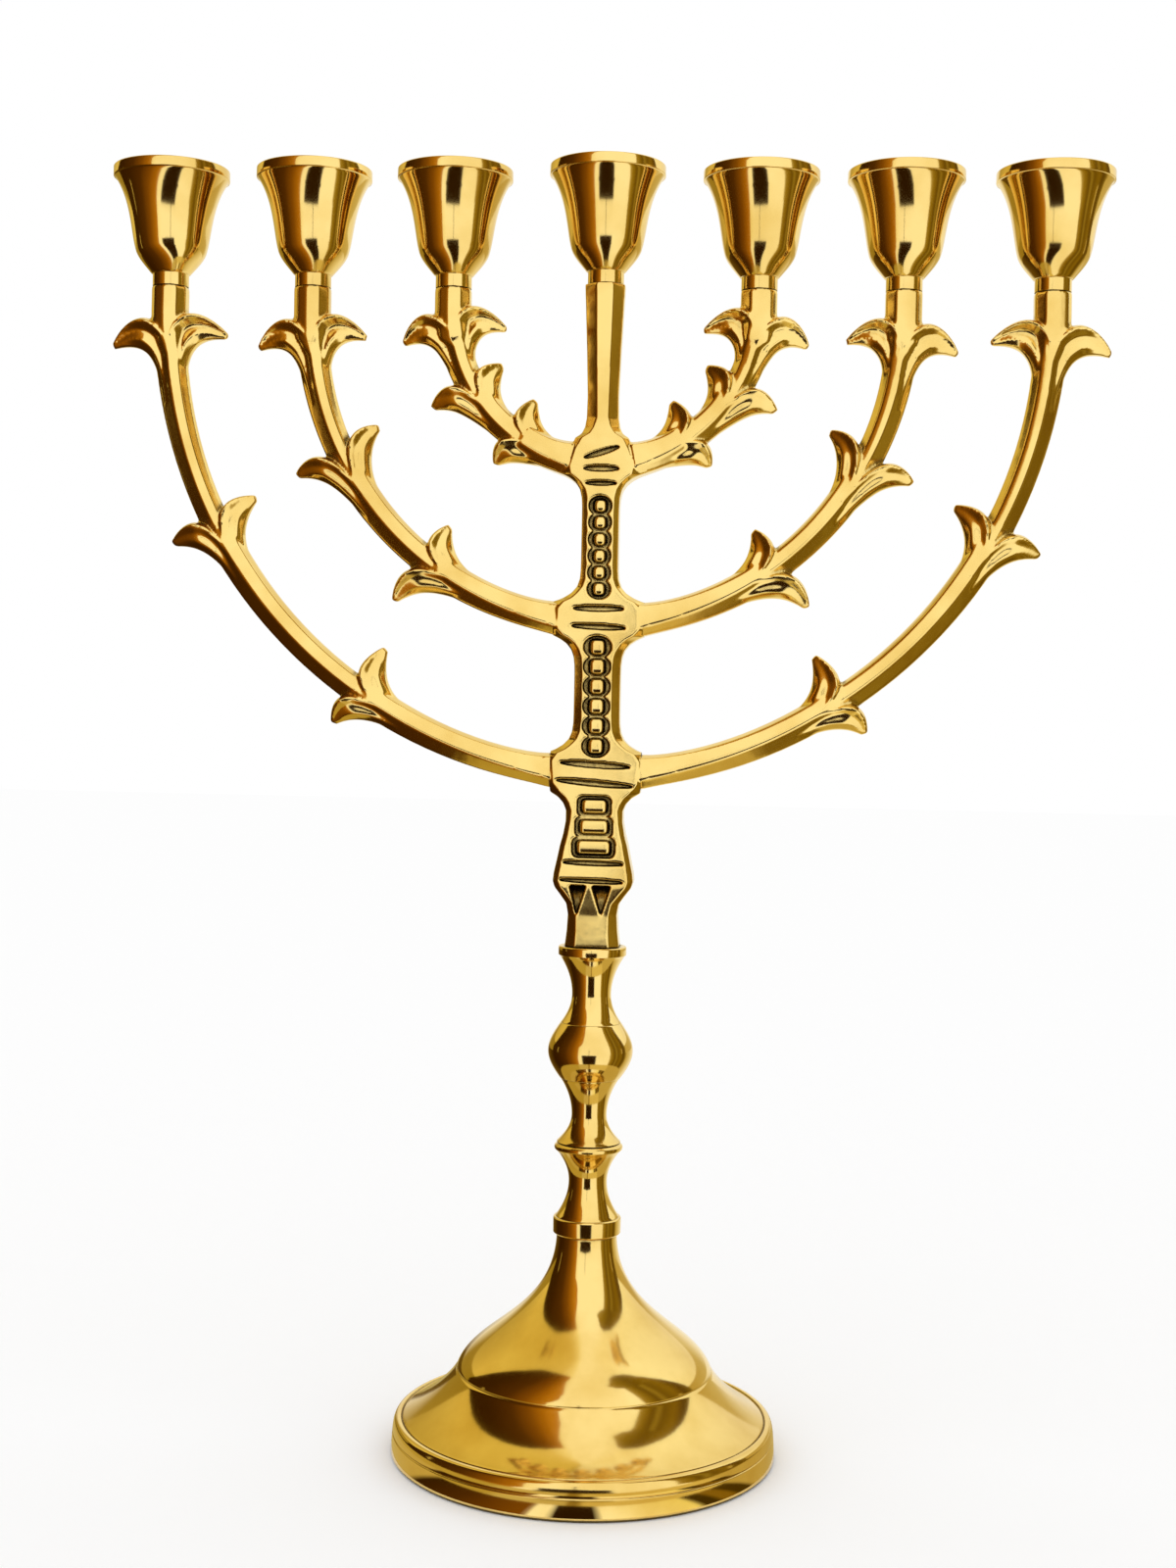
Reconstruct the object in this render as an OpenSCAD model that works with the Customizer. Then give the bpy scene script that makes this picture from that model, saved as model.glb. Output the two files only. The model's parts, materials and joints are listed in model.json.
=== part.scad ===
// Seven-branch brass menorah: a turned base and column, a cast head of six branches on a
// beaded stem, and seven candle cups that screw onto the branch posts.
// Millimetres, +Z up, +X to the right, origin at the centre of the base's underside.

/* [Base] */
// Diameter over the bottom band of the base
base_d = 106.5; // [98:0.5:120]
// Height of the base, from the table to the seat of the collar
base_h = 61; // [57:0.5:68]
// Height of the upright bottom band
band_h = 6; // [3:0.5:7]
// Height of the rim, band and rounding together
rim_h = 10; // [7.5:0.5:11]
// Step in from the band to the turned line at the foot of the flare
rim_step = 3.6; // [3:0.1:6]
// Width of the flare, from that line in to the shoulder
flare_w = 14.4; // [11:0.2:18]
// Height of the shoulder line
shoulder_h = 23.5; // [21:0.5:27]
// Diameter of the neck at the top of the base
neck_d = 16.6; // [15:0.2:18]
// Wall of the hollow base
wall = 2.4; // [1.8:0.2:3.2]
// Depth of solid metal in the neck, above the washer's seat
neck_depth = 14; // [10:0.5:16]

/* [Column] */
// Diameter of the foot collar
collar_d = 18.8; // [17.6:0.2:20]
// Height of the foot collar
collar_h = 4.7; // [3.5:0.1:6]
// Height of the lower spool with its ring
lower_spool_h = 20.8; // [17:0.2:24]
// Height of the middle spool
middle_spool_h = 17.7; // [14:0.1:21]
// Height of the knop
knop_h = 15.4; // [12:0.1:18]
// Height of the upper spool with its disc
upper_spool_h = 21.2; // [20:0.2:25]
// Diameter of the ring on the lower spool
ring_d = 19; // [17:0.2:21]
// Height of the ring on the lower spool
ring_h = 3; // [2.4:0.1:3.6]
// Diameter of the knop
knop_d = 23.4; // [20:0.2:27]
// Diameter of the disc on top of the upper spool
disc_d = 18.8; // [17.6:0.2:22]
// Thickness of the disc
disc_h = 2.7; // [2:0.1:3.6]
// Waist diameter of the spools
waist_d = 10.2; // [9.8:0.1:12]
// Diameter of the spools at the joints
joint_d = 16.6; // [15:0.2:17.2]

/* [Head] */
// Height from the foot of the head to the seats of the cups
seat_h = 179.6; // [177:0.2:187]
// Height of the centre cup's seat above the seats of the other six
centre_rise = 1.3; // [0:0.1:3]
// Reach of the outer branches, to the cup axis
outer_reach = 120.6; // [114:0.2:130]
// Reach of the middle branches
middle_reach = 80.8; // [76:0.2:86]
// Reach of the inner branches
inner_reach = 41.8; // [38:0.2:46]
// Height of the outer branches where they cross the stem
outer_low = 47.3; // [43:0.1:50]
// Height of the middle branches where they cross the stem
middle_low = 89; // [84:0.1:93]
// Height of the inner branches where they cross the stem
inner_low = 132.6; // [128:0.1:136]
// Straight length above the outer branch's curve
outer_post = 2.3; // [2:0.1:8]
// Straight length above the middle branch's curve
middle_post = 8.7; // [2:0.1:12]
// Straight length above the inner branch's curve
inner_post = 6.6; // [2:0.1:10]
// Width of a branch, seen from the front
branch_w = 8.4; // [7:0.1:10]
// Thickness of a branch, front to back
branch_t = 8.4; // [7:0.1:10]
// Width of the flat along the front of a branch
ridge_w = 2.8; // [1.5:0.1:4]
// Diameter of the posts under the cups, over their flats
post_d = 10; // [9.4:0.1:11]
// Thickness of the stem, front to back
stem_t = 10.4; // [9:0.1:12]
// Width of the stem at the waist of its lower beaded panel
lower_panel_w = 12.4; // [11:0.1:14]
// Width of the stem at the waist of its upper beaded panel
upper_panel_w = 9.9; // [9:0.1:12]
// Width of the block above the petals
block_w = 22; // [20:0.2:25]
// Thickness of the block and the ferrule, front to back
block_t = 13.4; // [12.4:0.1:15]
// Depth of the beaded channels
channel_depth = 1; // [0.6:0.1:1.4]
// Beads in each beaded channel
bead_count = 6; // [4:1:7]

/* [Cups] */
// Height of a cup, from its seat to its rim
cup_h = 32.2; // [31:0.1:36]
// Diameter over a cup's rim
cup_rim_d = 31.6; // [30:0.2:35]
// Height of the upright band at the rim
cup_lip_h = 2.3; // [1.5:0.1:3]
// Diameter of a cup's neck
cup_neck_d = 9.9; // [9:0.1:11]
// Height of a cup's neck
cup_neck_h = 3.4; // [2.5:0.1:6]
// Height at which a cup's cone meets its body
cup_heel_h = 8.4; // [8:0.1:10]
// Diameter of the candle that a cup takes
candle_d = 19; // [18:0.1:19.4]
// Radial room round the candle
candle_clearance = 0.15; // [0.05:0.05:0.25]
// Height of the socket's floor above the cup's seat
socket_floor = 13; // [12.5:0.1:15]
// Height at which the socket starts to flare
socket_top = 22.5; // [20:0.1:24]
// Wall of a cup at its rim
lip_wall = 1.4; // [1:0.1:2]

/* [Screws] */
// Diameter of the threaded studs that hold the cups
cup_stud_d = 5; // [4:0.5:5.5]
// Length of a cup stud inside the cup
cup_stud_up = 8; // [6:0.5:10]
// Length of a cup stud inside the branch post
cup_stud_down = 7; // [6:0.5:8]
// Diameter of the threaded stud that holds the head
head_stud_d = 8; // [6:0.5:9]
// Length of the head stud inside the head
head_stud_up = 12; // [9:0.5:15]
// Length of the head stud inside the column
head_stud_down = 9; // [8.5:0.1:9.5]
// Diameter of the threaded tie rod through the column
rod_d = 6; // [5:0.5:6.5]
// Length of the tie rod inside the upper spool
rod_up = 9; // [7:0.1:9.4]
// Diameter of the washer inside the base
washer_d = 16; // [13:0.5:17]
// Thickness of the washer
washer_t = 1.6; // [1:0.1:2]
// Width across the flats of the nut
nut_af = 10; // [9.5:0.5:11]
// Height of the nut
nut_h = 5; // [4:0.5:6]
// Length of the tie rod that stands out under the nut
rod_tail = 2.5; // [1:0.5:4]
// Radial running room round studs and rod
thread_clearance = 0.05; // [0.03:0.01:0.1]
// Room left at the blind ends of the threaded holes
blind_room = 0.5; // [0.3:0.1:0.8]

/* [Hidden] */
eps = 0.01;
round_fn = 96;
curve_steps = 16;

// heights of the joints in the column, from the table up
collar_z = base_h;
lower_spool_z = collar_z + collar_h;
middle_spool_z = lower_spool_z + lower_spool_h;
knop_z = middle_spool_z + middle_spool_h;
upper_spool_z = knop_z + knop_h;
head_z = upper_spool_z + upper_spool_h;
seat_z = head_z + seat_h;
centre_seat_z = seat_z + centre_rise;
flare_r = base_d / 2 - rim_step;
shoulder_r = flare_r - flare_w;
land_z = base_h - neck_depth;
cup_bore_r = candle_d / 2 + candle_clearance;

// the branches from the outside in: reach, height at the stem and straight post
REACH = [outer_reach, middle_reach, inner_reach];
LOW = [outer_low, middle_low, inner_low];
POST = [outer_post, middle_post, inner_post];
// half the width of the cross piece on the stem that each pair of branches grows from
ROOT = [12, 11, 9];
// leaf pairs on each branch, from the stem up: angle along the branch's ellipse, then the
// tips of the outer and the inner leaf, as [along the branch, across it] from the pair
LEAVES = [
    [[32, [4, 10.5], [3.5, 14]], [59.5, [5.5, 13.5], [5, 13.5]], [83, [3.5, 16], [2.5, 16.5]]],
    [[33.5, [5, 14], [4.5, 11.5]], [57.5, [8, 14], [7.5, 13]], [83.5, [2.5, 15], [2.5, 15]]],
    [[31, [4, 10.5], [4, 11.5]], [54.5, [3.7, 13], [3, 10]], [77, [3.5, 14.3], [1, 14.5]]]
];
// how far the outer branches swell outwards of the ellipse, two thirds of the way up
SWELL = [0.4, 0, 0];
CUP_X = [-outer_reach, -middle_reach, -inner_reach, 0, inner_reach, middle_reach, outer_reach];
CUP_Z = [seat_z, seat_z, seat_z, centre_seat_z, seat_z, seat_z, seat_z];

// ---- curves ------------------------------------------------------------------------------

// points of a cubic curve through a and d, pulled towards b and c
function bezier(a, b, c, d, n = curve_steps) = [for (i = [0:n]) let (t = i / n)
    pow(1 - t, 3) * a + 3 * t * pow(1 - t, 2) * b + 3 * t * t * (1 - t) * c + pow(t, 3) * d];

// a curve that starts at a, heads for b and ends at c
function bend(a, b, c, t) = pow(1 - t, 2) * a + 2 * t * (1 - t) * b + t * t * c;

// outline of a waisted piece: foot, waist and top radius, its height and where the waist is
function waisted(r0, rw, r1, h, at) = [for (i = [0:curve_steps]) let (t = i / curve_steps)
    [t < at ? rw + (r0 - rw) * pow(1 - t / at, 2) : rw + (r1 - rw) * pow((t - at) / (1 - at), 2),
     t * h]];

// ---- lofts: rings of eight points joined by flat facets ----------------------------------

// an eight-sided ring: half width w, half thickness t, half width of the front flat f
function octagon(w, t, f, land = 0.6) = [[w, -land], [w, land], [f, t], [-f, t],
                                         [-w, land], [-w, -land], [-f, -t], [f, -t]];

// rings hold points in space, in order from one end to the other
module loft(rings) {
    n = len(rings[0]);
    last = len(rings) - 1;
    sides = [for (k = [0:last - 1], i = [0:n - 1]) let (j = (i + 1) % n)
        each [[k * n + j, k * n + i, (k + 1) * n + j], [(k + 1) * n + j, k * n + i, (k + 1) * n + i]]];
    polyhedron([for (r = rings) each r],
        concat(sides, [[for (i = [0:n - 1]) i]], [[for (i = [0:n - 1]) last * n + n - 1 - i]]));
}

// ---- turned pieces -----------------------------------------------------------------------

// a solid of revolution from its outline, bored through for the tie rod
module turned(outline, z) {
    translate([0, 0, z])
        difference() {
            rotate_extrude($fn = round_fn)
                polygon(concat([[0, 0]], outline, [[0, outline[len(outline) - 1][1]]]));
            translate([0, 0, -eps])
                cylinder(r = rod_d / 2 + thread_clearance, h = outline[len(outline) - 1][1] + 2 * eps,
                    $fn = round_fn);
        }
}

// the bell and the flare rise a little at first, then sweep up
bell_rise = base_h - shoulder_h;
flare_rise = shoulder_h - rim_h;
function bell_curve() = bezier([shoulder_r, shoulder_h],
    [shoulder_r - 4, shoulder_h + 0.28 * bell_rise],
    [neck_d / 2 + 0.3, base_h - 0.58 * bell_rise], [neck_d / 2, base_h]);
function flare_curve() = bezier([flare_r, rim_h + 0.2],
    [flare_r - 0.46 * flare_w, rim_h + 0.3 * flare_rise],
    [shoulder_r + 0.2 * flare_w, shoulder_h - 0.32 * flare_rise],
    [shoulder_r + 0.3, shoulder_h - 0.4], 8);
function rim_curve() = bezier([base_d / 2 - 1, band_h + 0.3], [base_d / 2 - 1, rim_h - 0.6],
    [base_d / 2 - 1.6, rim_h], [flare_r + 0.6, rim_h], 6);
// the hollow follows the outside, one wall in
function inside(p) = [p[0] - wall, p[1] - 0.8 * wall];

module base_bell() {
    outer = concat([[base_d / 2, 0], [base_d / 2, band_h]], rim_curve(),
        [[flare_r + 0.25, rim_h - 0.3]], flare_curve(), [[shoulder_r - 0.35, shoulder_h - 0.2]],
        bell_curve());
    inner = [for (p = concat(flare_curve(), bell_curve())) if (inside(p)[1] < land_z - 1) inside(p)];
    color("gold")
        rotate_extrude($fn = round_fn)
            polygon(concat([[base_d / 2 - 2 * wall, 0]], outer,
                [[rod_d / 2 + thread_clearance, base_h], [rod_d / 2 + thread_clearance, land_z],
                 [inner[len(inner) - 1][0] - 0.3, land_z]],
                [for (i = [len(inner) - 1:-1:0]) inner[i]], [[base_d / 2 - 2 * wall, band_h]]));
}

module foot_collar() {
    edge = 0.4;
    color("goldenrod")
        turned([[collar_d / 2 - edge, 0], [collar_d / 2, edge], [collar_d / 2, collar_h - edge],
                [collar_d / 2 - edge, collar_h]], collar_z);
}

module lower_spool() {
    edge = 0.5;
    ring_z = lower_spool_h - ring_h;
    color("gold")
        turned(concat(waisted(joint_d / 2, waist_d / 2, ring_d / 2 - 1.4, ring_z, 0.55),
            [[ring_d / 2 - edge, ring_z + edge], [ring_d / 2, ring_z + 2 * edge],
             [ring_d / 2, lower_spool_h - 2 * edge], [joint_d / 2, lower_spool_h]]), lower_spool_z);
}

module middle_spool() {
    color("goldenrod")
        turned(waisted(joint_d / 2 - 0.2, waist_d / 2 - 0.4, joint_d / 2 - 0.3, middle_spool_h, 0.4),
            middle_spool_z);
}

module knop() {
    color("gold")
        turned([for (i = [0:curve_steps]) let (t = i / curve_steps)
            [joint_d / 2 + (knop_d - joint_d) / 2 * sin(180 * pow(t, 0.85)), t * knop_h]], knop_z);
}

module upper_spool() {
    edge = 0.3;
    body_h = upper_spool_h - disc_h;
    outline = concat(waisted(joint_d / 2 - 0.3, waist_d / 2 + 0.2, disc_d / 2 - 0.6, body_h, 0.42),
        [[disc_d / 2, body_h + edge], [disc_d / 2, upper_spool_h - edge],
         [disc_d / 2 - edge, upper_spool_h]]);
    color("goldenrod")
        translate([0, 0, upper_spool_z])
            difference() {
                rotate_extrude($fn = round_fn)
                    polygon(concat([[0, 0]], outline, [[0, upper_spool_h]]));
                translate([0, 0, -eps])
                    cylinder(r = rod_d / 2 + thread_clearance, h = rod_up + blind_room + eps,
                        $fn = round_fn);
                translate([0, 0, upper_spool_h - head_stud_down - blind_room])
                    cylinder(r = head_stud_d / 2 + thread_clearance,
                        h = head_stud_down + blind_room + eps, $fn = round_fn);
            }
}

// ---- fixings inside the column -----------------------------------------------------------

module tie_rod() {
    foot = land_z - washer_t - nut_h - rod_tail;
    color("silver")
        translate([0, 0, foot])
            cylinder(d = rod_d, h = upper_spool_z + rod_up - foot, $fn = round_fn);
}

module base_washer() {
    color("silver")
        translate([0, 0, land_z - washer_t])
            difference() {
                cylinder(d = washer_d, h = washer_t, $fn = round_fn);
                translate([0, 0, -eps])
                    cylinder(r = rod_d / 2 + thread_clearance, h = washer_t + 2 * eps, $fn = round_fn);
            }
}

module base_nut() {
    color("silver")
        translate([0, 0, land_z - washer_t - nut_h])
            difference() {
                cylinder(d = nut_af / cos(30), h = nut_h, $fn = 6);
                translate([0, 0, -eps])
                    cylinder(r = rod_d / 2 + thread_clearance, h = nut_h + 2 * eps, $fn = round_fn);
            }
}

module head_stud() {
    color("silver")
        translate([0, 0, head_z - head_stud_down])
            cylinder(d = head_stud_d, h = head_stud_down + head_stud_up, $fn = round_fn);
}

// ---- the cast head -----------------------------------------------------------------------

// height of branch b's centre line at the distance x from the axis, above the head's foot
function branch_z(b, x) = seat_h - POST[b]
    - (seat_h - POST[b] - LOW[b]) * sqrt(max(0, 1 - pow(x / REACH[b], 2)));
// the branches swell a little where they meet the stem
function root_swell(b, x) = 1.3 * exp(-abs(abs(x) - ROOT[b]) / 4);
// a ring across branch b at distance x, standing upright as at the stem
function root_ring(b, x) = let (w = branch_w / 2 + root_swell(b, x))
    [for (p = octagon(w, branch_t / 2, ridge_w / 2)) [x, p[1], head_z + branch_z(b, x) - p[0]]];
// a point and its direction at an angle along branch b's ellipse
function branch_at(b, a) = [REACH[b] * sin(a) + SWELL[b] * max(0, sin(3 * (a - 30))), 0,
    head_z + seat_h - POST[b] - (seat_h - POST[b] - LOW[b]) * cos(a)];
function branch_dir(b, a) = let (v = [REACH[b] * cos(a), 0, (seat_h - POST[b] - LOW[b]) * sin(a)])
    v / norm(v);
// a ring placed square to the direction d at the point c
function ring_at(c, d, w, t, f) = [for (p = octagon(w, t, f)) c + [d[2] * p[0], p[1], -d[0] * p[0]]];

// one leaf: it starts inside the branch, follows it, and curls out to its tip
module leaf(c, d, tip, side, rise) {
    steps = 7;
    root = [-7, 0.5];
    rings = [for (i = [0:steps]) let (
            t = i / steps,
            p = bend(root, [rise, 4.2], tip, t),
            q = bend(root, [rise, 4.2], tip, min(t + 0.02, 1)) - bend(root, [rise, 4.2], tip, min(t, 0.98)),
            u = q / norm(q),
            w = branch_w * (0.42 - 0.34 * pow(t, 2)),
            k = branch_t * (0.46 - 0.38 * pow(t, 1.6)),
            along = [d[0], 0, d[2]],
            across = [d[2], 0, -d[0]] * side)
        [for (o = octagon(w, k, 0.3 * w, 0.12 * k))
            c + along * (p[0] - u[1] * o[0] * side) + across * (p[1] + u[0] * o[0] * side) + [0, o[1], 0]]];
    loft(rings);
}

module branch(b) {
    first = asin(ROOT[b] / REACH[b]);
    steps = 24;
    rings = concat(
        [root_ring(b, ROOT[b])],
        [for (i = [1:steps]) let (a = first + (90 - first) * i / steps,
                x = REACH[b] * sin(a),
                top = max(0, (a - 78) / 12))
            ring_at(branch_at(b, a), branch_dir(b, a),
                branch_w / 2 + root_swell(b, x) + top * (post_d - branch_w) / 2,
                branch_t / 2 + top * (post_d - branch_t) / 2,
                ridge_w / 2 + top * (0.42 * post_d - ridge_w) / 2)],
        [ring_at([REACH[b], 0, seat_z], [0, 0, 1], post_d / 2, post_d / 2, 0.21 * post_d)]);
    color("darkgoldenrod")
        difference() {
            union() {
                loft(rings);
                for (i = [0:2]) {
                    pair = LEAVES[b][i];
                    rise = i == 2 ? 13 : 3.5;
                    leaf(branch_at(b, pair[0]), branch_dir(b, pair[0]), pair[1], 1, rise);
                    leaf(branch_at(b, pair[0]), branch_dir(b, pair[0]), pair[2], -1, rise);
                }
            }
            translate([REACH[b], 0, seat_z - cup_stud_down - blind_room])
                cylinder(r = cup_stud_d / 2 + thread_clearance, h = cup_stud_down + blind_room + eps,
                    $fn = round_fn);
        }
}

module branch_right_outer() branch(0);
module branch_right_middle() branch(1);
module branch_right_inner() branch(2);
module branch_left_outer() mirror([1, 0, 0]) branch(0);
module branch_left_middle() mirror([1, 0, 0]) branch(1);
module branch_left_inner() mirror([1, 0, 0]) branch(2);

// heights on the stem, above the head's foot
block_z = 18.5;
block_top = 35;
root_h = branch_w / 2 + 1.3;
function cross_z(b) = branch_z(b, ROOT[b]);
// stations of a waisted stretch of the stem, as [height, half width], closer at the ends
function stretch(z0, z1, w0, wm, w1, power, n = 12) = [for (i = [0:n]) let (
        t = (1 - cos(180 * i / n)) / 2,
        s = 2 * t - 1)
    [z0 + (z1 - z0) * t, wm + ((s < 0 ? w0 : w1) - wm) * pow(abs(s), power)]];

function stem_stations() = concat(
    [[0, 7.4], [2, 7], [9, 6.7], [12, 7.2], [14.5, 8.8], [16.5, 10.4], [block_z, block_w / 2],
     [block_z + 1.5, block_w / 2]],
    [for (i = [0:6]) let (t = i / 6, z = block_top + (cross_z(0) - root_h - block_top) * t)
        [z, 0.7 * block_w / 2 + (ROOT[0] - 0.7 * block_w / 2) * pow(t, 4)]],
    stretch(cross_z(0) + root_h, cross_z(1) - root_h, ROOT[0], lower_panel_w / 2, ROOT[1], 6),
    stretch(cross_z(1) + root_h, cross_z(2) - root_h, ROOT[1], upper_panel_w / 2, ROOT[2], 7),
    [for (i = [0:6]) let (t = i / 6) [cross_z(2) + root_h + 10 * t, 4.3 + (ROOT[2] - 4.3) * pow(1 - t, 5)]],
    [[seat_h + centre_rise, post_d / 2 + 0.5]]);
// half thickness and half front flat at a height on the stem
function stem_half_t(z) = lookup(z, [[0, block_t / 2 + 0.3], [9, block_t / 2], [block_top, block_t / 2],
    [cross_z(0), stem_t / 2 + 0.2], [cross_z(0) + root_h, stem_t / 2], [cross_z(2) - root_h, stem_t / 2],
    [cross_z(2) + root_h + 8, branch_t / 2 + 0.3], [seat_h + centre_rise, post_d / 2 + 0.3]]);
function stem_flat(z, w) = z > cross_z(2) + root_h
    ? lookup(z, [[cross_z(2) + root_h, w - 2], [cross_z(2) + root_h + 10, 1.4], [seat_h + centre_rise, 2.1]])
    : w - lookup(z, [[0, 2.8], [9, 2.2], [block_z, 1.2], [cross_z(0), 1.9], [cross_z(1), 1.4]]);

// a row of round beads standing in a channel, from z0 to z1 on the stem
module bead_row(z0, z1, w, face) {
    pitch = (z1 - z0) / bead_count;
    bead_r = min(pitch / 2, w / 2) - 0.2;
    for (i = [0:bead_count - 1])
        translate([0, face - bead_r - 0.1, head_z + z0 + pitch * (i + 0.5)])
            sphere(r = bead_r, $fn = 24);
}

module channel_cut(z0, z1, w, face) {
    translate([-w / 2, face - channel_depth, head_z + z0])
        cube([w, channel_depth + 2, z1 - z0]);
}

// the same carving on the front and on the back
module both_sides() {
    children();
    mirror([0, 1, 0]) children();
}

module head_stem() {
    z_panel = [[cross_z(0) + root_h + 0.6, cross_z(1) - root_h - 0.6],
               [cross_z(1) + root_h + 0.6, cross_z(2) - root_h - 1.6]];
    w_panel = [0.55 * lower_panel_w, 0.56 * upper_panel_w];
    block_bead_h = (block_top + 4 - block_z - 5) / 3;
    stations = stem_stations();
    color("darkgoldenrod")
        difference() {
            union() {
                difference() {
                    union() {
                        loft([for (s = stations) let (z = s[0], w = s[1])
                            [for (p = octagon(w, stem_half_t(z), stem_flat(z, w), 0.8))
                                [p[0], p[1], head_z + z]]]);
                        for (b = [0:2])
                            loft([for (i = [-4:4]) root_ring(b, i / 4 * ROOT[b])]);
                    }
                    both_sides() {
                        for (k = [0:1])
                            channel_cut(z_panel[k][0], z_panel[k][1], w_panel[k], stem_t / 2);
                        channel_cut(block_z + 5, block_top + 4, 0.42 * block_w, block_t / 2);
                    }
                }
                both_sides() {
                    for (k = [0:1])
                        bead_row(z_panel[k][0], z_panel[k][1], w_panel[k], stem_t / 2);
                    for (i = [0:2])
                        translate([-0.36 * block_w / 2, block_t / 2 - channel_depth - 0.2,
                                   head_z + block_z + 5 + block_bead_h * i + 0.5])
                            cube([0.36 * block_w, channel_depth, block_bead_h - 1]);
                }
            }
            translate([0, 0, head_z - eps])
                cylinder(r = head_stud_d / 2 + thread_clearance, h = head_stud_up + blind_room + eps,
                    $fn = round_fn);
            translate([0, 0, centre_seat_z - cup_stud_down - blind_room])
                cylinder(r = cup_stud_d / 2 + thread_clearance, h = cup_stud_down + blind_room + eps,
                    $fn = round_fn);
        }
}

// ---- cups --------------------------------------------------------------------------------

module cup_stud(i) {
    color("silver")
        translate([CUP_X[i], 0, CUP_Z[i] - cup_stud_down])
            cylinder(d = cup_stud_d, h = cup_stud_down + cup_stud_up, $fn = round_fn);
}

module candle_cup(i) {
    body = bezier([cup_rim_d / 2 - 6.5, cup_heel_h], [cup_rim_d / 2 - 4.7, cup_heel_h + 5.4],
        [cup_rim_d / 2 - 4.8, cup_h - 8.7], [cup_rim_d / 2 - 0.1, cup_h - cup_lip_h], 12);
    mouth = bezier([cup_bore_r, socket_top], [cup_bore_r, socket_top + 4],
        [cup_rim_d / 2 - lip_wall - 3.1, cup_h - 4.2], [cup_rim_d / 2 - lip_wall, cup_h], 8);
    color("gold")
        translate([CUP_X[i], 0, CUP_Z[i]])
            difference() {
                rotate_extrude($fn = round_fn)
                    polygon(concat([[0, 0], [cup_neck_d / 2, 0], [cup_neck_d / 2, cup_neck_h],
                        [cup_neck_d / 2 + 0.6, cup_neck_h + 0.1]], body,
                        [[cup_rim_d / 2, cup_h - cup_lip_h], [cup_rim_d / 2, cup_h - 0.3],
                         [cup_rim_d / 2 - 0.3, cup_h]],
                        [for (k = [len(mouth) - 1:-1:0]) mouth[k]],
                        [[cup_bore_r, socket_floor], [0, socket_floor]]));
                translate([0, 0, -eps])
                    cylinder(r = cup_stud_d / 2 + thread_clearance, h = cup_stud_up + blind_room + eps,
                        $fn = round_fn);
            }
}

module candle_cup_1() candle_cup(0);
module candle_cup_2() candle_cup(1);
module candle_cup_3() candle_cup(2);
module candle_cup_4() candle_cup(3);
module candle_cup_5() candle_cup(4);
module candle_cup_6() candle_cup(5);
module candle_cup_7() candle_cup(6);
module cup_stud_1() cup_stud(0);
module cup_stud_2() cup_stud(1);
module cup_stud_3() cup_stud(2);
module cup_stud_4() cup_stud(3);
module cup_stud_5() cup_stud(4);
module cup_stud_6() cup_stud(5);
module cup_stud_7() cup_stud(6);

base_bell();
foot_collar();
lower_spool();
middle_spool();
knop();
upper_spool();
tie_rod();
base_washer();
base_nut();
head_stud();
head_stem();
branch_left_outer();
branch_left_middle();
branch_left_inner();
branch_right_inner();
branch_right_middle();
branch_right_outer();
cup_stud_1();
cup_stud_2();
cup_stud_3();
cup_stud_4();
cup_stud_5();
cup_stud_6();
cup_stud_7();
candle_cup_1();
candle_cup_2();
candle_cup_3();
candle_cup_4();
candle_cup_5();
candle_cup_6();
candle_cup_7();
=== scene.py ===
import bpy, bmesh, json, math
from mathutils import Vector, Matrix

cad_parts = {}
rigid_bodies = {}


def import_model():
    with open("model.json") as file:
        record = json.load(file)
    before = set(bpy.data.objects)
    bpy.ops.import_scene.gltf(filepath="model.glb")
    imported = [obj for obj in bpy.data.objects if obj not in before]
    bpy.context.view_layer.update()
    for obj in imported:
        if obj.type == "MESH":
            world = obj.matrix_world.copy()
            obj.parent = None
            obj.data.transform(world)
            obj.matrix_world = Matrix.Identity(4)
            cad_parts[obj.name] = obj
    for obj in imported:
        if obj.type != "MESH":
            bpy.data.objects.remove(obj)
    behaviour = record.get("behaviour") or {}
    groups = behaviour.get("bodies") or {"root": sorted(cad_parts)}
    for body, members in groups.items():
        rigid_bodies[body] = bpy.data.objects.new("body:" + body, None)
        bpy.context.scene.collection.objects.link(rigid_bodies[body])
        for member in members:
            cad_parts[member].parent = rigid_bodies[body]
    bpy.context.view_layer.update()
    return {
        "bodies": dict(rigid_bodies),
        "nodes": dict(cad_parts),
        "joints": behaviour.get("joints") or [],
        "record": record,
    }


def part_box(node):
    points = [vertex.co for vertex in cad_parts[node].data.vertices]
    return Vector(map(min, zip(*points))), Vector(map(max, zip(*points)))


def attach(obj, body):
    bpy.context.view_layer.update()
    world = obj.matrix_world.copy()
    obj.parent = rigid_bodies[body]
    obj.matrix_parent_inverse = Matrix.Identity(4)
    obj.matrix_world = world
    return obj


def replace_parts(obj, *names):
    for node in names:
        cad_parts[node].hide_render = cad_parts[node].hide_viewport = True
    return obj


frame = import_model()


# ---- Camera ---------------------------------------------------------------------------
# The menorah is looked at from a few degrees round to its right, from just above the
# middle of its height, with the camera leaning a degree to one side.
camera = bpy.data.objects.new("camera", bpy.data.cameras.new("camera"))
bpy.context.scene.collection.objects.link(camera)
camera.data.lens = 47.55
camera.data.clip_start = 0.01
turn, tilt, lean = math.radians(3.726), math.radians(-2.069), math.radians(1.15)
camera.matrix_world = (Matrix.Translation((0.0349, -0.5689, 0.206))
                       @ Matrix.Rotation(turn, 4, 'Z') @ Matrix.Rotation(math.pi / 2 + tilt, 4, 'X')
                       @ Matrix.Rotation(lean, 4, 'Z'))
bpy.context.scene.camera = camera
bpy.context.scene.view_settings.view_transform = 'Standard'


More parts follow.
